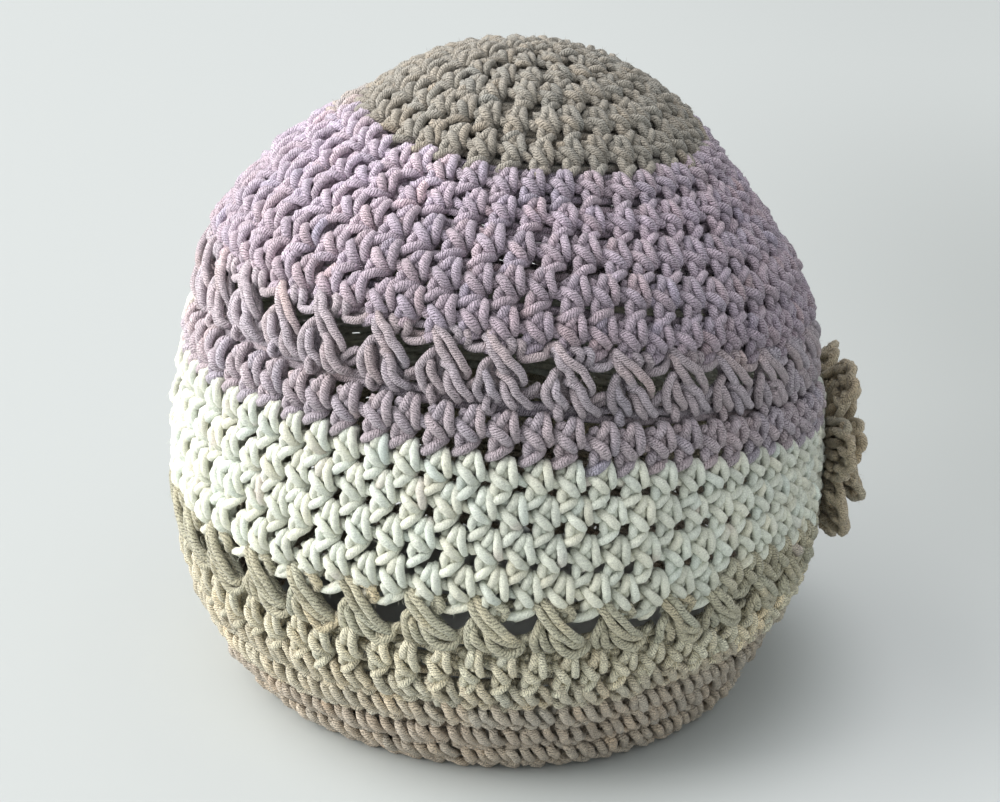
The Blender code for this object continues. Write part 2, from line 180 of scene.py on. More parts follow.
# The white rounds: a little fuller, the bars between two stitches further forward.
HALF_DOUBLE_BARRED = tuple((u if k < 8 else 0.42 + (u - 0.42) * 1.08, v, o + (0.95 if k < 4 else 0.6 if k < 8 else 0.0), g * (1.12 if k < 8 else 1.03)) for k, (u, v, o, g) in enumerate(HALF_DOUBLE))
HALF_DOUBLE_BARRED_OVER = tuple((u, v, o - 1.5 if v < 0.0 else o, g) for u, v, o, g in HALF_DOUBLE_BARRED)
PATHS = {"half_double_barred": HALF_DOUBLE_BARRED, "half_double_barred_over": HALF_DOUBLE_BARRED_OVER, "half_double_full": HALF_DOUBLE_FULL, "half_double_full_over": HALF_DOUBLE_FULL_OVER, "half_double_close": HALF_DOUBLE_CLOSE, "half_double": HALF_DOUBLE, "half_double_over": HALF_DOUBLE_OVER, "single": SINGLE, "crossed_low": CROSSED_LOW, "crossed_tall": CROSSED_TALL, "edge": EDGE_CHAIN}

# One row per worked round. phase is in stitches. shade names a row of SHADES.
ROUND_COLUMNS = ("piece", "low", "high", "stitches", "kind", "phase", "shade")
ROUNDS = (
    ("crown", 215.0, 219.4, 6, "half_double_close", 0.10, "taupe"),
    ("crown", 209.0, 215.0, 11, "half_double_close", 0.40, "taupe"),
    ("crown", 201.5, 209.0, 17, "half_double_close", 0.00, "taupe"),
    ("crown", 193.0, 201.5, 24, "half_double_close", 0.30, "taupe"),
    ("crown", 183.0, 193.0, 30, "half_double_close", 0.60, "taupe"),
    ("crown", 173.0, 183.0, 36, "half_double_close", 0.90, "taupe"),
    ("upper_body", 165.0, 173.0, 42, "half_double_close", 0.20, "lilac_1"),
    ("upper_body", 157.0, 165.0, 47, "half_double_close", 0.50, "lilac_2"),
    ("upper_body", 146.5, 157.0, 53, "half_double_full", 0.80, "lilac_3"),
    ("upper_body", 134.5, 146.5, 59, "half_double_full", 0.10, "lilac_4"),
    ("upper_body", 122.5, 134.5, 64, "half_double_full_over", 0.40, "lilac_5"),
    ("upper_crossed_round", 103.5, 122.5, 34, "crossed_tall", 0.0, "mauve_1"),
    ("mauve_round", 92.4, 103.5, 68, "half_double_full", 0.74, "mauve_2"),
    ("white_band", 82.0, 92.4, 68, "half_double_barred", 0.87, "white_1"),
    ("white_band", 71.6, 82.0, 68, "half_double_barred", 0.16, "white_2"),
    ("white_band", 61.4, 71.6, 68, "half_double_barred", 0.45, "white_3"),
    ("white_band", 51.5, 61.4, 68, "half_double_barred_over", 0.74, "white_4"),
    ("lower_crossed_round", 41.5, 51.5, 34, "crossed_low", 0.0, "beige_1"),
    ("lower_body", 33.2, 42.6, 68, "half_double", 0.10, "beige_2"),
    ("lower_body", 25.2, 33.2, 68, "single", 0.35, "beige_3"),
    ("brim", 17.4, 25.2, 68, "single", 0.60, "rose_1"),
    ("brim", 9.8, 17.4, 68, "single", 0.85, "rose_2"),
    ("brim", 2.4, 9.8, 68, "single", 0.10, "rose_3"),
    ("brim", 0.9, 2.6, 68, "edge", 0.40, "rose_3"),
)

# sRGB of the yarn in each round
SHADES = {
    "taupe": (142, 136, 127),
    "lilac_1": (163, 150, 162),
    "lilac_2": (164, 150, 163),
    "lilac_3": (159, 146, 158),
    "lilac_4": (156, 143, 154),
    "lilac_5": (155, 142, 153),
    "mauve_1": (161, 150, 156),
    "mauve_2": (160, 149, 156),
    "white_1": (193, 195, 184),
    "white_2": (195, 197, 186),
    "white_3": (195, 197, 185),
    "white_4": (194, 195, 182),
    "beige_1": (172, 167, 146),
    "beige_2": (205, 198, 175),
    "beige_3": (197, 189, 166),
    "rose_1": (177, 166, 151),
    "rose_2": (176, 164, 149),
    "rose_3": (176, 164, 148),
    "flower": (172, 159, 137),
}


def linear(rgb):
    c = np.asarray(rgb, float) / 255.0
    return np.where(c <= 0.04045, c / 12.92, ((c + 0.055) / 1.055) ** 2.4)


def mixed(a, b, share):
    return a * (1 - share)[:, None] + b * share[:, None]


def ramp(x, low, high):
    t = np.clip((x - low) / (high - low), 0, 1)
    return t * t * (3 - 2 * t)


def shade_at(name, degrees, rng, length):
    """Linear colour along the yarn of one round: its shade, where the self-striping yarn turns to the next one, its
    flecks, and painted light and shade on the side that faces the key light.
    The fourth value is how clearly the plies show, in their bump and in the painted shade between them: the white yarn
    is smoother."""
    n = len(degrees)
    white = np.full(n, 1.0 if name.startswith("white") else 0.0)
    base = np.repeat(linear(SHADES[name])[None], n, 0)
    d = np.mod(degrees + 90, 360) - 90
    if name == "mauve_2":
        white = 1 - ramp(d, 4, 10) * (1 - ramp(d, 170, 176))
        base = mixed(base, linear(SHADES["white_1"])[None], white)
    if name == "white_4":
        white = 1 - np.maximum(ramp(d, 126, 136), 1 - ramp(d, -10, -2))
        base = mixed(base, linear(SHADES["beige_1"])[None], 1 - white)
    if name == "lilac_1":
        base = mixed(base, linear(SHADES["taupe"])[None], (1 - ramp(d, -8, 8)) * 0.8)
    if name.startswith("lilac"):
        base = base * (1 + 0.32 * (1 - ramp(d, 40, 85)) * ramp(d, -80, -30))[:, None]  # painted light: the lilac is paler on the side that faces the key light
    # painted light: mauve and white yarn paler on the side that faces the key light
    if name.startswith("mauve") or name.startswith("white"):
        base = base * (1 + (0.10 if name.startswith("white") else 0.24) * (1 - ramp(d, 20, 70)) * ramp(d, -80, -30))[:, None]
    # painted shade: beige yarn darker on the side that faces the key light
    if name.startswith("beige"):
        base = base * (1 - 0.16 * (1 - ramp(d, 35, 80)) * ramp(d, -80, -30))[:, None]
    if name == "beige_3":
        base = mixed(base, linear(SHADES["rose_1"])[None], 0.2 + 0.6 * ramp(d, 60, 200))
    if name == "rose_1":
        base = mixed(base, linear(SHADES["beige_3"])[None], 0.7 * (1 - ramp(d, 40, 100)))
    # heather: slow drift and short flecks along the length
    total = length[-1] + 1.0
    drift = np.interp(length, np.linspace(0, total, int(total / 45) + 2), rng.normal(0, 0.06, int(total / 45) + 2))
    fleck = np.interp(length, np.linspace(0, total, int(total / 5) + 2), rng.normal(0, 0.045, int(total / 5) + 2))
    out = base * (1 + drift + fleck)[:, None]
    warm = np.interp(length, np.linspace(0, total, int(total / 16) + 2), rng.normal(0, 0.025, int(total / 16) + 2))
    out[:, 0] *= 1 + warm
    out[:, 2] *= 1 - warm
    # now and then a stretch takes the colour of the next stripe
    every = 7 if name.startswith("white") else 14
    patch = np.interp(length, np.linspace(0, total, int(total / every) + 2), rng.random(int(total / every) + 2))
    if name.startswith("white"):
        out = mixed(out, linear((184, 170, 164))[None], 0.6 * ramp(patch, 0.86, 0.98))
    elif name != "flower":
        out = mixed(out, out * np.array([1.16, 1.10, 1.04])[None], ramp(patch, 0.8, 0.95))
    return np.concatenate([np.clip(out, 0.0, 1.0), (1 - 0.75 * white)[:, None]], 1)


def smooth_path(control, per=6):
    """A Catmull-Rom curve through the control points, then even steps along it."""
    p = np.concatenate([control[:1] * 2 - control[1:2], control, control[-1:] * 2 - control[-2:-1]])
    a, b, c, d = p[:-3], p[1:-2], p[2:-1], p[3:]
    t = (np.arange(per) / per)[None, :, None]
    a, b, c, d = (v[:, None] for v in (a, b, c, d))
    q = 0.5 * (2 * b + (c - a) * t + (2 * a - 5 * b + 4 * c - d) * t**2 + (3 * b - a - 3 * c + d) * t**3)
    return np.concatenate([q.reshape(-1, p.shape[1]), control[-1:]])


def even_steps(points, step, seen=None):
    """points has x, y, z and then any values to carry along. Steps are longer where seen is low and where the path is straight."""
    chord = np.diff(points[:, :3], axis=0)
    d = np.linalg.norm(chord, axis=1)
    s = np.concatenate([[0], np.cumsum(d)])
    run = s
    if seen is not None:
        unit = chord / (d[:, None] + 1e-9)
        bend = np.linalg.norm(np.diff(unit, axis=0), axis=1) / (0.5 * (d[1:] + d[:-1]) + 1e-3)
        bend = np.concatenate([bend[:1], bend])
        need = (0.45 + 0.55 * seen[1:]) * np.clip(0.55 + 1.3 * bend, 0.72, 1.25)
        run = np.concatenate([[0], np.cumsum(d * need)])
    n = max(4, int(round(run[-1] / step)))
    q = np.interp(np.linspace(0, run[-1], n + 1), run, s)
    return np.stack([np.interp(q, s, points[:, k]) for k in range(points.shape[1])], -1), q


def frames(points):
    """A normal and binormal at each point that turn as little as can be."""
    t = np.gradient(points, axis=0)
    t /= np.linalg.norm(t, axis=1, keepdims=True) + 1e-12
    first = np.cross(t[0], (0.3, 0.5, 0.8))
    normal = np.empty_like(points)
    v = first / np.linalg.norm(first)
    for k in range(len(points)):
        v = v - t[k] * v.dot(t[k])
        v = v / math.sqrt(v.dot(v))
        normal[k] = v
    return normal, np.cross(t, normal)


class Yarns:
    """Yarn tubes gathered into one mesh."""

    def __init__(self):
        self.points, self.faces, self.uv, self.colour, self.count = [], [], [], [], 0
        self.caps, self.hairs, self.hair_colour = [], [], []

    def add(self, points, radius, colour, length, sides=SIDES):
        normal, side = frames(points)
        angle = np.arange(sides) * 2 * math.pi / sides
        ring = np.cos(angle)[None, :, None] * normal[:, None] + np.sin(angle)[None, :, None] * side[:, None]
        verts = points[:, None] + ring * np.asarray(radius).reshape(-1, 1, 1)
        n = len(points)
        k = np.arange(n - 1)[:, None] * sides
        j = np.arange(sides)[None]
        j2 = (j + 1) % sides
        quads = np.stack([k + j, k + j2, k + sides + j2, k + sides + j], -1).reshape(-1, 4) + self.count
        u0, u1 = (j / sides) + 0 * k, ((j + 1) / sides) + 0 * k
        l0 = np.repeat(length[:-1, None], sides, 1)
        l1 = np.repeat(length[1:, None], sides, 1)
        uv = np.stack([np.stack([u0, l0], -1), np.stack([u1, l0], -1), np.stack([u1, l1], -1), np.stack([u0, l1], -1)], 2)
        self.points.append(verts.reshape(-1, 3))
        self.faces.append(quads)
        self.uv.append(uv.reshape(-1, 2))
        self.colour.append(np.repeat(colour, sides, 0))
        # closed ends
        ends = np.stack([points[0], points[-1]])
        self.points.append(ends)
        self.colour.append(colour[[0, -1]])
        tip0, tip1 = self.count + n * sides, self.count + n * sides + 1
        jj = np.arange(sides)
        jn = (jj + 1) % sides
        self.caps.append(np.stack([jn + self.count, jj + self.count, np.full(sides, tip0)], -1))
        last = self.count + (n - 1) * sides
        self.caps.append(np.stack([jj + last, jn + last, np.full(sides, tip1)], -1))
        self.count += n * sides + 2

    def fuzz(self, points, radius, colour, length, each_mm, rng, seen=None):
        """Loose hairs on the outside, one thin triangle each."""
        at = rng.uniform(0, length[-1], int(length[-1] * each_mm))
        if seen is not None:
            at = at[np.interp(at, length, seen) > 0.5]
        n = len(at)
        middle = np.stack([np.interp(at, length, points[:, k]) for k in range(3)], -1)
        tangent = np.gradient(points, axis=0)
        tangent = np.stack([np.interp(at, length, tangent[:, k]) for k in range(3)], -1)
        tangent /= np.linalg.norm(tangent, axis=1, keepdims=True) + 1e-9
        away = np.cross(tangent, rng.normal(0, 1, (n, 3)))
        away /= np.linalg.norm(away, axis=1, keepdims=True) + 1e-9
        lean = away * rng.uniform(0.25, 1.0, (n, 1)) + tangent * rng.normal(0, 0.8, (n, 1)) + rng.normal(0, 0.25, (n, 3))
        lean /= np.linalg.norm(lean, axis=1, keepdims=True)
        wide = np.cross(lean, away)
        wide /= np.linalg.norm(wide, axis=1, keepdims=True) + 1e-9
        base = middle + away * (np.interp(at, length, radius) * 0.93)[:, None]
        tip = base + lean * rng.uniform(0.6, 2.0, (n, 1))
        tip[:, 2] = np.maximum(tip[:, 2], 0.02)
        half = wide * 0.045
        self.hairs.append(np.stack([base - half, base + half, tip], 1).reshape(-1, 3))
        shade = np.stack([np.interp(at, length, colour[:, k]) for k in range(4)], -1) * np.array([1.15, 1.15, 1.15, 1.0])
        self.hair_colour.append(np.repeat(np.clip(shade, 0, 1), 3, 0))

    def mesh(self, name):
        caps = self.caps
        if self.hairs:
            many = sum(len(h) for h in self.hairs)
            caps = caps + [np.arange(many).reshape(-1, 3) + self.count]
        verts = np.concatenate(self.points + self.hairs) * MM
        quads = np.concatenate(self.faces)
        caps = np.concatenate(caps)
        me = bpy.data.meshes.new(name)
        me.vertices.add(len(verts))
        me.vertices.foreach_set("co", verts.astype(np.float32).ravel())
        me.loops.add(quads.size + caps.size)
        me.loops.foreach_set("vertex_index", np.concatenate([quads.ravel(), caps.ravel()]).astype(np.int32))
        me.polygons.add(len(quads) + len(caps))
        starts = np.concatenate([np.arange(len(quads)) * 4, quads.size + np.arange(len(caps)) * 3])
        me.polygons.foreach_set("loop_start", starts.astype(np.int32))
        me.update(calc_edges=True)
        me.polygons.foreach_set("use_smooth", np.ones(len(me.polygons), bool))
        layer = me.uv_layers.new(name="Yarn")
        uv = np.concatenate([np.concatenate(self.uv), np.zeros((caps.size, 2))])
        layer.data.foreach_set("uv", uv.astype(np.float32).ravel())
        tint = me.color_attributes.new("Tint", "FLOAT_COLOR", "POINT")
        c = np.concatenate(self.colour + self.hair_colour)
        tint.data.foreach_set("color", c.astype(np.float32).ravel())
        me.validate()
        return me


def wander(turn, seed):
    """Slow uneven wave round the hat, about -1 to 1."""
    r = np.random.default_rng(seed)
    out = np.zeros_like(turn)
    for k, size in ((2, 0.45), (3, 0.4), (5, 0.35), (8, 0.25), (13, 0.2)):
        out += size * np.sin(k * turn + r.uniform(0, 2 * math.pi))
    return out / 1.2


def round_path(kind, low, high, stitches, phase, seed):
    """The yarn's control points in one round: x, y, z, then the angle in degrees."""
    rng = np.random.default_rng(seed)
    path = np.array(PATHS[kind], float)
    loose = {"single": 2.2, "half_double_close": 1.4}.get(kind, 1.0)
    n, m = stitches, len(path)
    across = np.repeat(path[None, :, 0], n, 0) + rng.normal(0, 0.035 * loose, (n, 1)) + rng.normal(0, 0.016 * loose, (n, m))
    up = np.repeat(path[None, :, 1], n, 0)
    out = np.repeat(path[None, :, 2], n, 0)
    scale = 0.6 if kind == "edge" else 1.0
    up = 0.5 + (up - 0.5) * (1 + rng.normal(0, 0.03 * loose, (n, 1))) + rng.normal(0, 0.025 * loose, (n, 1)) * scale + rng.normal(0, 0.014 * loose, (n, m)) * scale
    out = out * (1 + rng.normal(0, 0.08, (n, 1))) + rng.normal(0, 0.16, (n, 1)) + rng.normal(0, 0.10, (n, m))
    if low > 170:
        out = out * 0.72 + 0.2
    turn = (np.arange(n)[:, None] + phase + across) * 2 * math.pi / n
    along = low + up * (high - low)
    if low > 3:
        along = along + 0.7 * wander(turn, int(low * 10) % 97) * ramp(along, 3, 20) * (1 - ramp(along, 205, 219))
    out = out + 0.55 * wander(turn + along * 0.02, 5) * ramp(along, 3, 20)
    pts = place(turn.ravel(), along.ravel(), out.ravel())
    girth = np.tile(path[:, 3], n)[:, None]
    above = np.zeros(m)
    if kind == "crossed_low":
        above[-7:-1] = 1.0  # the chain over the window is of the round above
    seen = ramp(np.tile(path[:, 2], n), -1.0, 0.3)
    return np.concatenate([pts, np.degrees(turn).reshape(-1, 1), girth, np.tile(above, n)[:, None], seen[:, None]], 1)


# ---------------------------------------------------------------- yarn material


def node(tree, kind, **values):
    made = tree.nodes.new(kind)
    for key, value in values.items():
        setattr(made, key, value)
    return made


def yarn_material(name, plies, pitch, sheen):
    """Plied yarn: its colour from the Tint attribute, darkened between the plies as painted shade, plies and fuzz from
    the length and turn in the Yarn map.
    """
    made = bpy.data.materials.new(name)
    made.use_nodes = True
    tree = made.node_tree
    shader = tree.nodes["Principled BSDF"]
    link = tree.links.new

    def maths(op, a, b=None, c=None):
        n = node(tree, "ShaderNodeMath", operation=op)
        for k, v in enumerate((a, b, c)):
            if v is None:
                continue
            if isinstance(v, (int, float)):
                n.inputs[k].default_value = v
            else:
                link(v, n.inputs[k])
        return n.outputs[0]

    uv = node(tree, "ShaderNodeUVMap", uv_map="Yarn")
    split = node(tree, "ShaderNodeSeparateXYZ")
    link(uv.outputs[0], split.inputs[0])
    around, length = split.outputs[0], split.outputs[1]
    coords = node(tree, "ShaderNodeTexCoord")

    def noise(scale, detail):
        made = node(tree, "ShaderNodeTexNoise", noise_dimensions="3D")
        made.inputs["Scale"].default_value = scale
        made.inputs["Detail"].default_value = detail
        made.inputs["Roughness"].default_value = 0.6
        link(coords.outputs["Object"], made.inputs["Vector"])
        return made.outputs[0]

    waver, grain, mottle = noise(420.0, 1.0), noise(2900.0, 2.0), noise(900.0, 1.0)
    breaks = maths("MAXIMUM", 0.0, maths("SUBTRACT", maths("MULTIPLY", noise(1500.0, 1.0), 2.2), 1.0))
    phase = maths("ADD", maths("MULTIPLY", around, float(plies)), maths("DIVIDE", length, pitch / plies))
    phase = maths("ADD", phase, maths("ADD", maths("MULTIPLY", waver, 1.9), maths("MULTIPLY", noise(1300.0, 1.0), 0.5)))
    wave = maths("ABSOLUTE", maths("SINE", maths("MULTIPLY", phase, math.pi)))
    ply = maths("MINIMUM", 1.0, maths("ADD", maths("POWER", wave, 0.85), maths("MULTIPLY", breaks, 0.9)))
    tint = node(tree, "ShaderNodeAttribute", attribute_name="Tint")
    contrast = tint.outputs["Alpha"]
    height = maths("ADD", maths("MULTIPLY", maths("MULTIPLY", ply, contrast), 1.2), maths("MULTIPLY", grain, 0.6))
    bump = node(tree, "ShaderNodeBump")
    bump.inputs["Strength"].default_value = 0.8
    bump.inputs["Distance"].default_value = 0.0003
    link(height, bump.inputs["Height"])
    link(bump.outputs[0], shader.inputs["Normal"])
    # painted shade between the plies: the colour is 1 at the crest of a ply and darker between two, where shade falls;
    # the mottle and specks are the yarn's own heather
    uneven = maths("MINIMUM", 0.80, maths("MAXIMUM", 0.22, maths("SUBTRACT", maths("MULTIPLY", noise(700.0, 1.0), 3.2), 0.85)))
    ply_valley_shade = maths("MULTIPLY", maths("SUBTRACT", 1.0, ply), maths("MULTIPLY", contrast, maths("MULTIPLY", uneven, 0.92)))
    speck = maths("MULTIPLY", maths("SUBTRACT", grain, 0.5), maths("ADD", 0.5, maths("MULTIPLY", contrast, 1.9)))
    heather_and_ply_shade = maths("SUBTRACT", maths("ADD", speck, maths("ADD", maths("MULTIPLY", mottle, 0.56), 0.94)), ply_valley_shade)
    shade = node(tree, "ShaderNodeVectorMath", operation="SCALE")
    link(tint.outputs["Color"], shade.inputs[0])
    link(heather_and_ply_shade, shade.inputs["Scale"])
    link(shade.outputs[0], shader.inputs["Base Color"])
    shader.inputs["Roughness"].default_value = 0.92
    shader.inputs["Specular IOR Level"].default_value = 0.25
    shader.inputs["Sheen Weight"].default_value = sheen
    shader.inputs["Sheen Roughness"].default_value = 0.45
    return made


WOOL = yarn_material("plied_yarn", 5, 3.1, 0.25)
STRETCHED = yarn_material("stretched_yarn", 5, 6.0, 0.25)

# ---------------------------------------------------------------- the hat
YARN_RADIUS = 1.12
HAIRS_EACH_MM = 1.3
# where the inside strands run in each kind of round: level between the two chains, out, radius
INSIDE = {
    "half_double": ((0.40, -2.1, 1.25), (0.64, -2.2, 1.3), (0.88, -2.1, 1.3)),
    "half_double_close": ((0.12, -1.5, 1.25), (0.40, -2.0, 1.25), (0.64, -2.1, 1.3), (0.88, -2.0, 1.3)),
    "half_double_over": ((0.40, -2.1, 1.25), (0.64, -2.2, 1.3), (0.88, -2.1, 1.3)),
    "half_double_barred": ((0.40, -2.1, 1.25), (0.64, -2.2, 1.3), (0.88, -2.1, 1.3)),
    "half_double_barred_over": ((0.40, -2.1, 1.25), (0.64, -2.2, 1.3), (0.88, -2.1, 1.3)),
    "half_double_full": ((0.38, -2.1, 1.25), (0.62, -2.2, 1.3), (0.86, -2.1, 1.3)),
    "half_double_full_over": ((0.40, -2.1, 1.25), (0.64, -2.2, 1.3), (0.88, -2.1, 1.3)),
    "single": ((0.25, -1.9, 1.25), (0.60, -2.0, 1.3), (0.92, -1.9, 1.2)),
    "crossed_low": ((0.92, -1.9, 1.2), (0.06, -1.9, 1.2)),
    "crossed_tall": ((0.96, -2.0, 1.3), (0.82, -1.9, 1.2), (0.18, -2.0, 1.3), (0.03, -2.0, 1.3)),
}
# more of them behind the windows on the side that the photo does not show
FAR_SIDE = {
    "crossed_low": ((0.42, -2.2, 1.2), (0.66, -2.3, 1.2)),
    "half_double": ((0.14, -2.2, 1.3),),
    "half_double_full": ((0.14, -2.2, 1.3),),
    "half_double_barred": ((0.14, -2.2, 1.3),),
    "half_double_barred_over": ((0.14, -2.2, 1.3),),
}
gathered = {}
for number, (piece, low, high, stitches, kind, phase, shade) in enumerate(ROUNDS):
    yarns = gathered.setdefault(piece, Yarns())
    rng = np.random.default_rng(1000 + number)
    control = round_path(kind, low, high, stitches, phase, 200 + number)
    curve = smooth_path(control)
    points, length = even_steps(curve, STEPS.get(piece, STEP), np.clip(curve[:, 6], 0, 1))
    thick = 1.0
    if piece == "crown":
        thick = min(1.0, 0.62 + 0.38 * (220 - low) / 27.0)
    if kind in ("single", "edge"):
        thick = 0.98
    wobble = np.interp(length, np.linspace(0, length[-1], int(length[-1] / 9) + 2), rng.normal(0, 0.04, int(length[-1] / 9) + 2))
    xyz = points[:, :3].copy()
    radius = YARN_RADIUS * thick * points[:, 4] * (1 + wobble)
    xyz[:, 2] = np.maximum(xyz[:, 2], radius)
    tint = shade_at(shade, points[:, 3], rng, length)
    if kind == "crossed_low":
        tint = mixed(tint, shade_at("white_4", points[:, 3], rng, length), np.clip(points[:, 5], 0, 1))
    yarns.add(xyz, radius, tint, length)
    yarns.fuzz(xyz, radius, tint, length, HAIRS_EACH_MM, rng, points[:, 6])
    # the inside face: strands that run round behind the stitches
    for level, out, girth, far_only in [(*row, False) for row in INSIDE.get(kind, ())] + [(*row, True) for row in FAR_SIDE.get(kind, ())]:
        n = stitches * 3
        turn = np.arange(n + 1) * 2 * math.pi / n
        if far_only:
            turn = np.radians(np.linspace(205, 335, n // 3))
        elif piece == "white_band" or (piece == "mauve_round" and level < 0.8):
            turn = np.radians(np.linspace(172, 368, n // 2))  # the gaps on the photo's side stay open
        along = low + (level + 0.05 * np.sin(turn * stitches + 7 * level)) * (high - low) + rng.normal(0, 0.15, len(turn))
        line = place(turn, along, out + 0.3 * np.cos(turn * stitches) + rng.normal(0, 0.1, len(turn)))
        line = np.concatenate([line, np.degrees(turn)[:, None]], 1)
        behind, run = even_steps(line, 7.0)
        behind[:, 2] = np.maximum(behind[:, 2], girth)
        yarns.add(behind[:, :3], np.full(len(behind), girth * thick), shade_at(shade, behind[:, 3], rng, run), run, 5)

# ---------------------------------------------------------------- the flower
FLOWER_TURN, FLOWER_ALONG = 184.5, 73.0


def on_flower(radius, angle, out):
    half = float(np.interp(FLOWER_ALONG, ALONG, VALUE[:, 1])) + 4.0
    turn = math.radians(FLOWER_TURN) + radius * np.cos(angle) / half
    return place(turn, FLOWER_ALONG + radius * np.sin(angle), out)


def flower_layer(piece, petals, tip, notch, start, foot, lift, seed, posts, hub):
    """Petals worked round the middle: plump loops from the hub to the lobe's edge and back, then a looped edge."""
    rng = np.random.default_rng(seed)
    yarns = gathered.setdefault(piece, Yarns())
    span = 2 * math.pi / petals
    tall = rng.uniform(-1.6, 1.8, petals)
    wide_by = rng.uniform(0.9, 1.08, petals)

    def reach(angle):
        lobe = np.abs(np.cos(petals * (angle - math.radians(start)) / 2)) ** 0.7
        return notch + (tip - notch) * lobe

    def over(radius, angle):
        k = int(round((angle - math.radians(start)) / span)) % petals
        curl = abs(math.cos(petals * (angle - math.radians(start)) / 2))
        return foot + lift * (radius / tip) ** 2 + (tall[k] + 3.4 * curl - 2.4) * (radius / tip) ** 2

    control = []
    for k in range(petals):
        middle = math.radians(start) + k * span
        for j in range(posts):
            a = middle + span * wide_by[k] * (-0.40 + 0.80 * (j + 0.5) / posts)
            wide = span * 0.80 / posts * 0.36
            edge = float(reach(np.array(a))) - 1.8 + rng.normal(0, 0.5)
            for share, side, rise in (
                (0.0, -0.2, -1.0), (0.12, -0.5, 0.2), (0.42, -0.9, 1.5), (0.75, -1.0, 2.1), (0.97, -0.7, 1.9), (1.04, 0.0, 0.8),
                (0.97, 0.7, 1.7), (0.75, 0.9, 1.9), (0.45, 0.7, 1.2), (0.25, 0.3, -0.2), (0.5, 0.0, -1.0), (0.8, 0.1, -0.6), (0.6, 0.6, -0.9), (0.2, 0.5, -0.6),
            ):
                radius = hub + (edge - hub) * share
                angle = a + side * wide * tip / max(radius, 7.0) * 0.8
                control.append((radius, angle, over(radius, a) + 1.3 + rise + rng.normal(0, 0.2)))
    control = np.array(control)
    pts = on_flower(control[:, 0], control[:, 1], control[:, 2])
    points, length = even_steps(smooth_path(np.concatenate([pts, np.degrees(control[:, 1:2])], 1)), STEP)
    radius = 1.30 * (1 + np.interp(length, np.linspace(0, length[-1], 60), rng.normal(0, 0.06, 60)))
    tint = shade_at("flower", points[:, 3], rng, length)
    yarns.add(points[:, :3], radius, tint, length)
    yarns.fuzz(points[:, :3], radius, tint, length, HAIRS_EACH_MM, rng)
    # the edge is a row of plump loops
    n = int(2 * math.pi * (tip + notch) / 2 / 5.6)
    control = []
    for k in range(n):
        puff = rng.uniform(0.8, 1.3)
        for share, away, rise in ((0.0, -1.4, 0.8), (0.1, -0.2, 2.2), (0.4, 0.7, 2.9), (0.75, 0.5, 2.6), (0.95, -0.5, 1.4), (0.8, -1.5, 0.2), (0.75, -1.2, -0.3)):
            a = 2 * math.pi * (k + share) / n
            r = float(reach(np.array(a))) - 1.3 + away * puff
            control.append((r, a, over(r, a) + 0.3 + rise * puff + rng.normal(0, 0.15)))
    control = np.array(control)
    pts = on_flower(control[:, 0], control[:, 1], control[:, 2])
    points, length = even_steps(smooth_path(np.concatenate([pts, np.degrees(control[:, 1:2])], 1)), STEP)
    radius = np.full(len(points), 1.25)
    tint = shade_at("flower", points[:, 3], rng, length)
    yarns.add(points[:, :3], radius, tint, length)
    yarns.fuzz(points[:, :3], radius, tint, length, HAIRS_EACH_MM, rng)


flower_layer("flower_outer_petals", 7, 32.0, 23.0, 12.0, 2.9, 5.2, 71, 4, 7.0)
flower_layer("flower_inner_petals", 6, 20.5, 14.5, 40.0, 7.4, 4.6, 72, 3, 4.0)

# the middle is a tight coil of short stitches
rng = np.random.default_rng(73)
control = []
n = 26
for k in range(n):
    turns = k / 8.5
    base = 6.6 - 1.9 * turns
    for share, away, rise in ((0.0, -0.8, -0.9), (0.3, 0.3, 0.9), (0.7, 0.9, 0.3), (0.9, 0.2, -1.0)):
        a = 2 * math.pi * (k + share) / 8.5
        r = max(base + away, 0.4)
        control.append((r, a, 11.7 + 3.3 * (1 - (r / 9.0) ** 2) + rise))
control = np.array(control)
pts = on_flower(control[:, 0], control[:, 1], control[:, 2])
points, length = even_steps(smooth_path(np.concatenate([pts, np.degrees(control[:, 1:2])], 1)), STEP)
gathered["flower_centre"] = Yarns()
gathered["flower_centre"].add(points[:, :3], np.full(len(points), 1.12), shade_at("flower", points[:, 3], rng, length), length)

total = 0
for piece, yarns in gathered.items():
    mesh = yarns.mesh(piece + "_yarn")
    made = bpy.data.objects.new(piece + "_yarn", mesh)
    bpy.context.scene.collection.objects.link(made)
    mesh.materials.append(STRETCHED if piece == "lower_crossed_round" else WOOL)
    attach(made, "root")
    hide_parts(piece)
    triangles = sum(len(f) * 2 for f in yarns.faces) + sum(len(c) for c in yarns.caps) + sum(len(h) for h in yarns.hairs) // 3
    total += triangles
    print(piece, "triangles", triangles)
print("triangles in all", total)

# ---------------------------------------------------------------- stage, light and camera


def plain_material(name, colour, roughness):
    made = bpy.data.materials.new(name)
    made.use_nodes = True
    shader = made.node_tree.nodes["Principled BSDF"]
    shader.inputs["Base Color"].default_value = tuple(linear(colour)) + (1.0,)
    shader.inputs["Roughness"].default_value = roughness
    shader.inputs["Specular IOR Level"].default_value = 0.2
    return made


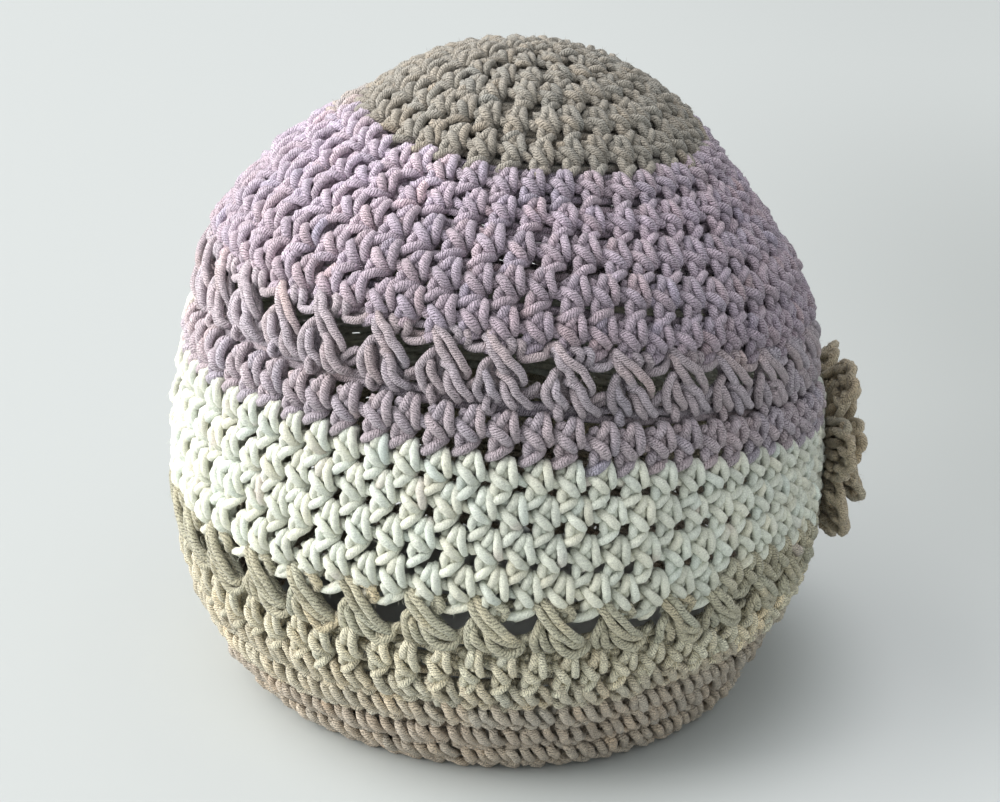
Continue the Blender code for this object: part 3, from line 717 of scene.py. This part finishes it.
def floor_material():
    """A pale ground with painted light that only the camera sees, so that the hat's own shadow is faint: a glow, dimmer
    to the right behind the hat and stronger where its shadow falls, and a painted shadow round the hat's foot where the
    glow fades out.
    """
    made = plain_material("floor", (188, 192, 191), 0.9)
    tree = made.node_tree
    shader = tree.nodes["Principled BSDF"]
    link = tree.links.new

    def maths(op, a, b, clamp=False):
        n = node(tree, "ShaderNodeMath", operation=op, use_clamp=clamp)
        for k, v in enumerate((a, b)):
            if isinstance(v, (int, float)):
                n.inputs[k].default_value = v
            else:
                link(v, n.inputs[k])
        return n.outputs[0]

    def smooth(value, start, end):
        n = node(tree, "ShaderNodeMapRange", interpolation_type="SMOOTHSTEP")
        low, high = (start, end) if start < end else (end, start)
        link(value, n.inputs["Value"])
        n.inputs["From Min"].default_value, n.inputs["From Max"].default_value = low, high
        n.inputs["To Min"].default_value, n.inputs["To Max"].default_value = (0.0, 1.0) if start < end else (1.0, 0.0)
        return n.outputs[0]

    coords = node(tree, "ShaderNodeTexCoord")
    split = node(tree, "ShaderNodeSeparateXYZ")
    link(coords.outputs["Object"], split.inputs[0])
    x, y = split.outputs[0], split.outputs[1]
    seen = node(tree, "ShaderNodeLightPath").outputs["Is Camera Ray"]
    # painted light: the glow is dimmer to the right behind the hat, brighter far off and to the right in front, where
    # the hat's shadow falls
    to_right = smooth(x, 0.06, -0.26)
    behind = smooth(y, 0.12, -0.18)
    far = smooth(y, -0.28, -0.75)
    # painted shadow: no glow under the hat, fading in round its foot
    reach = maths("SQRT", maths("ADD", maths("MULTIPLY", x, x), maths("MULTIPLY", y, y)), 0.0)
    painted_contact_shadow_mask = smooth(reach, 0.074, 0.122)
    painted_floor_light = maths("SUBTRACT", 0.332, maths("MULTIPLY", maths("MULTIPLY", to_right, behind), 0.20))
    painted_floor_light = maths("ADD", painted_floor_light, maths("MULTIPLY", maths("MULTIPLY", far, to_right), 0.15))
    near = maths("SUBTRACT", 1.0, behind)
    painted_floor_light = maths("ADD", painted_floor_light, maths("MULTIPLY", maths("MULTIPLY", to_right, near), 0.13))
    painted_floor_light = maths("MULTIPLY", maths("MULTIPLY", painted_floor_light, painted_contact_shadow_mask), seen)
    # where the painted light is, the camera sees the floor at about half its colour; bounced light keeps it whole
    share = maths("SUBTRACT", 1.0, maths("MULTIPLY", maths("MULTIPLY", seen, painted_contact_shadow_mask), 0.485))
    scale = node(tree, "ShaderNodeVectorMath", operation="SCALE")
    scale.inputs[0].default_value = tuple(linear((188, 192, 191)))
    link(share, scale.inputs["Scale"])
    link(scale.outputs[0], shader.inputs["Base Color"])
    shader.inputs["Emission Color"].default_value = tuple(linear((250, 254, 255))) + (1.0,)
    link(painted_floor_light, shader.inputs["Emission Strength"])
    return made


floor_mesh = bpy.data.meshes.new("floor")
floor_mesh.from_pydata([(-4, -6, 0), (4, -6, 0), (4, 3, 0), (-4, 3, 0)], [], [(0, 1, 2, 3)])
floor_mesh.update()
floor = bpy.data.objects.new("floor", floor_mesh)
bpy.context.scene.collection.objects.link(floor)
floor_mesh.materials.append(floor_material())


def area_light(name, location, target, size, power, colour):
    data = bpy.data.lights.new(name, "AREA")
    data.shape = "SQUARE"
    data.size = size
    data.energy = power
    data.color = colour
    made = bpy.data.objects.new(name, data)
    made.location = location
    made.rotation_euler = (Vector(target) - Vector(location)).to_track_quat("-Z", "Y").to_euler()
    bpy.context.scene.collection.objects.link(made)


area_light("key", (2.75, -0.05, 1.90), (0.0, 0, 0.09), 3.9, 228.0, (1.0, 0.985, 0.955))
area_light("side_fill", (1.7, 0.75, 0.62), (0, 0, 0.09), 1.6, 15.0, (1.0, 0.995, 0.98))
area_light("top", (-0.3, 0.3, 1.7), (0, 0, 0.1), 1.6, 4.5, (0.97, 0.98, 1.0))

world = bpy.data.worlds.new("world")
world.use_nodes = True
world.node_tree.nodes["Background"].inputs[0].default_value = (0.81, 0.85, 0.86, 1.0)
world.node_tree.nodes["Background"].inputs[1].default_value = 0.74
bpy.context.scene.world = world

ELEVATION, ROLL, DISTANCE = math.radians(22.42), math.radians(3.0), 0.700
target = Vector((0.00186 + SHIFT_X * MM, SHIFT_Y * MM, 0.07811))
back = Vector((0, math.cos(ELEVATION), math.sin(ELEVATION)))
right0, up0 = Vector((-1, 0, 0)), Vector((0, -math.sin(ELEVATION), math.cos(ELEVATION)))
right = right0 * math.cos(ROLL) + up0 * math.sin(ROLL)
up = up0 * math.cos(ROLL) - right0 * math.sin(ROLL)
data = bpy.data.cameras.new("camera")
data.lens, data.sensor_width = 87.65, 36.0
data.clip_start, data.clip_end = 0.01, 30.0
camera = bpy.data.objects.new("camera", data)
camera.matrix_world = Matrix((
    (right.x, up.x, back.x, target.x + back.x * DISTANCE),
    (right.y, up.y, back.y, target.y + back.y * DISTANCE),
    (right.z, up.z, back.z, target.z + back.z * DISTANCE),
    (0, 0, 0, 1),
))
bpy.context.scene.collection.objects.link(camera)
bpy.context.scene.camera = camera
bpy.context.scene.view_settings.view_transform = "Standard"
bpy.context.scene.view_settings.look = "None"
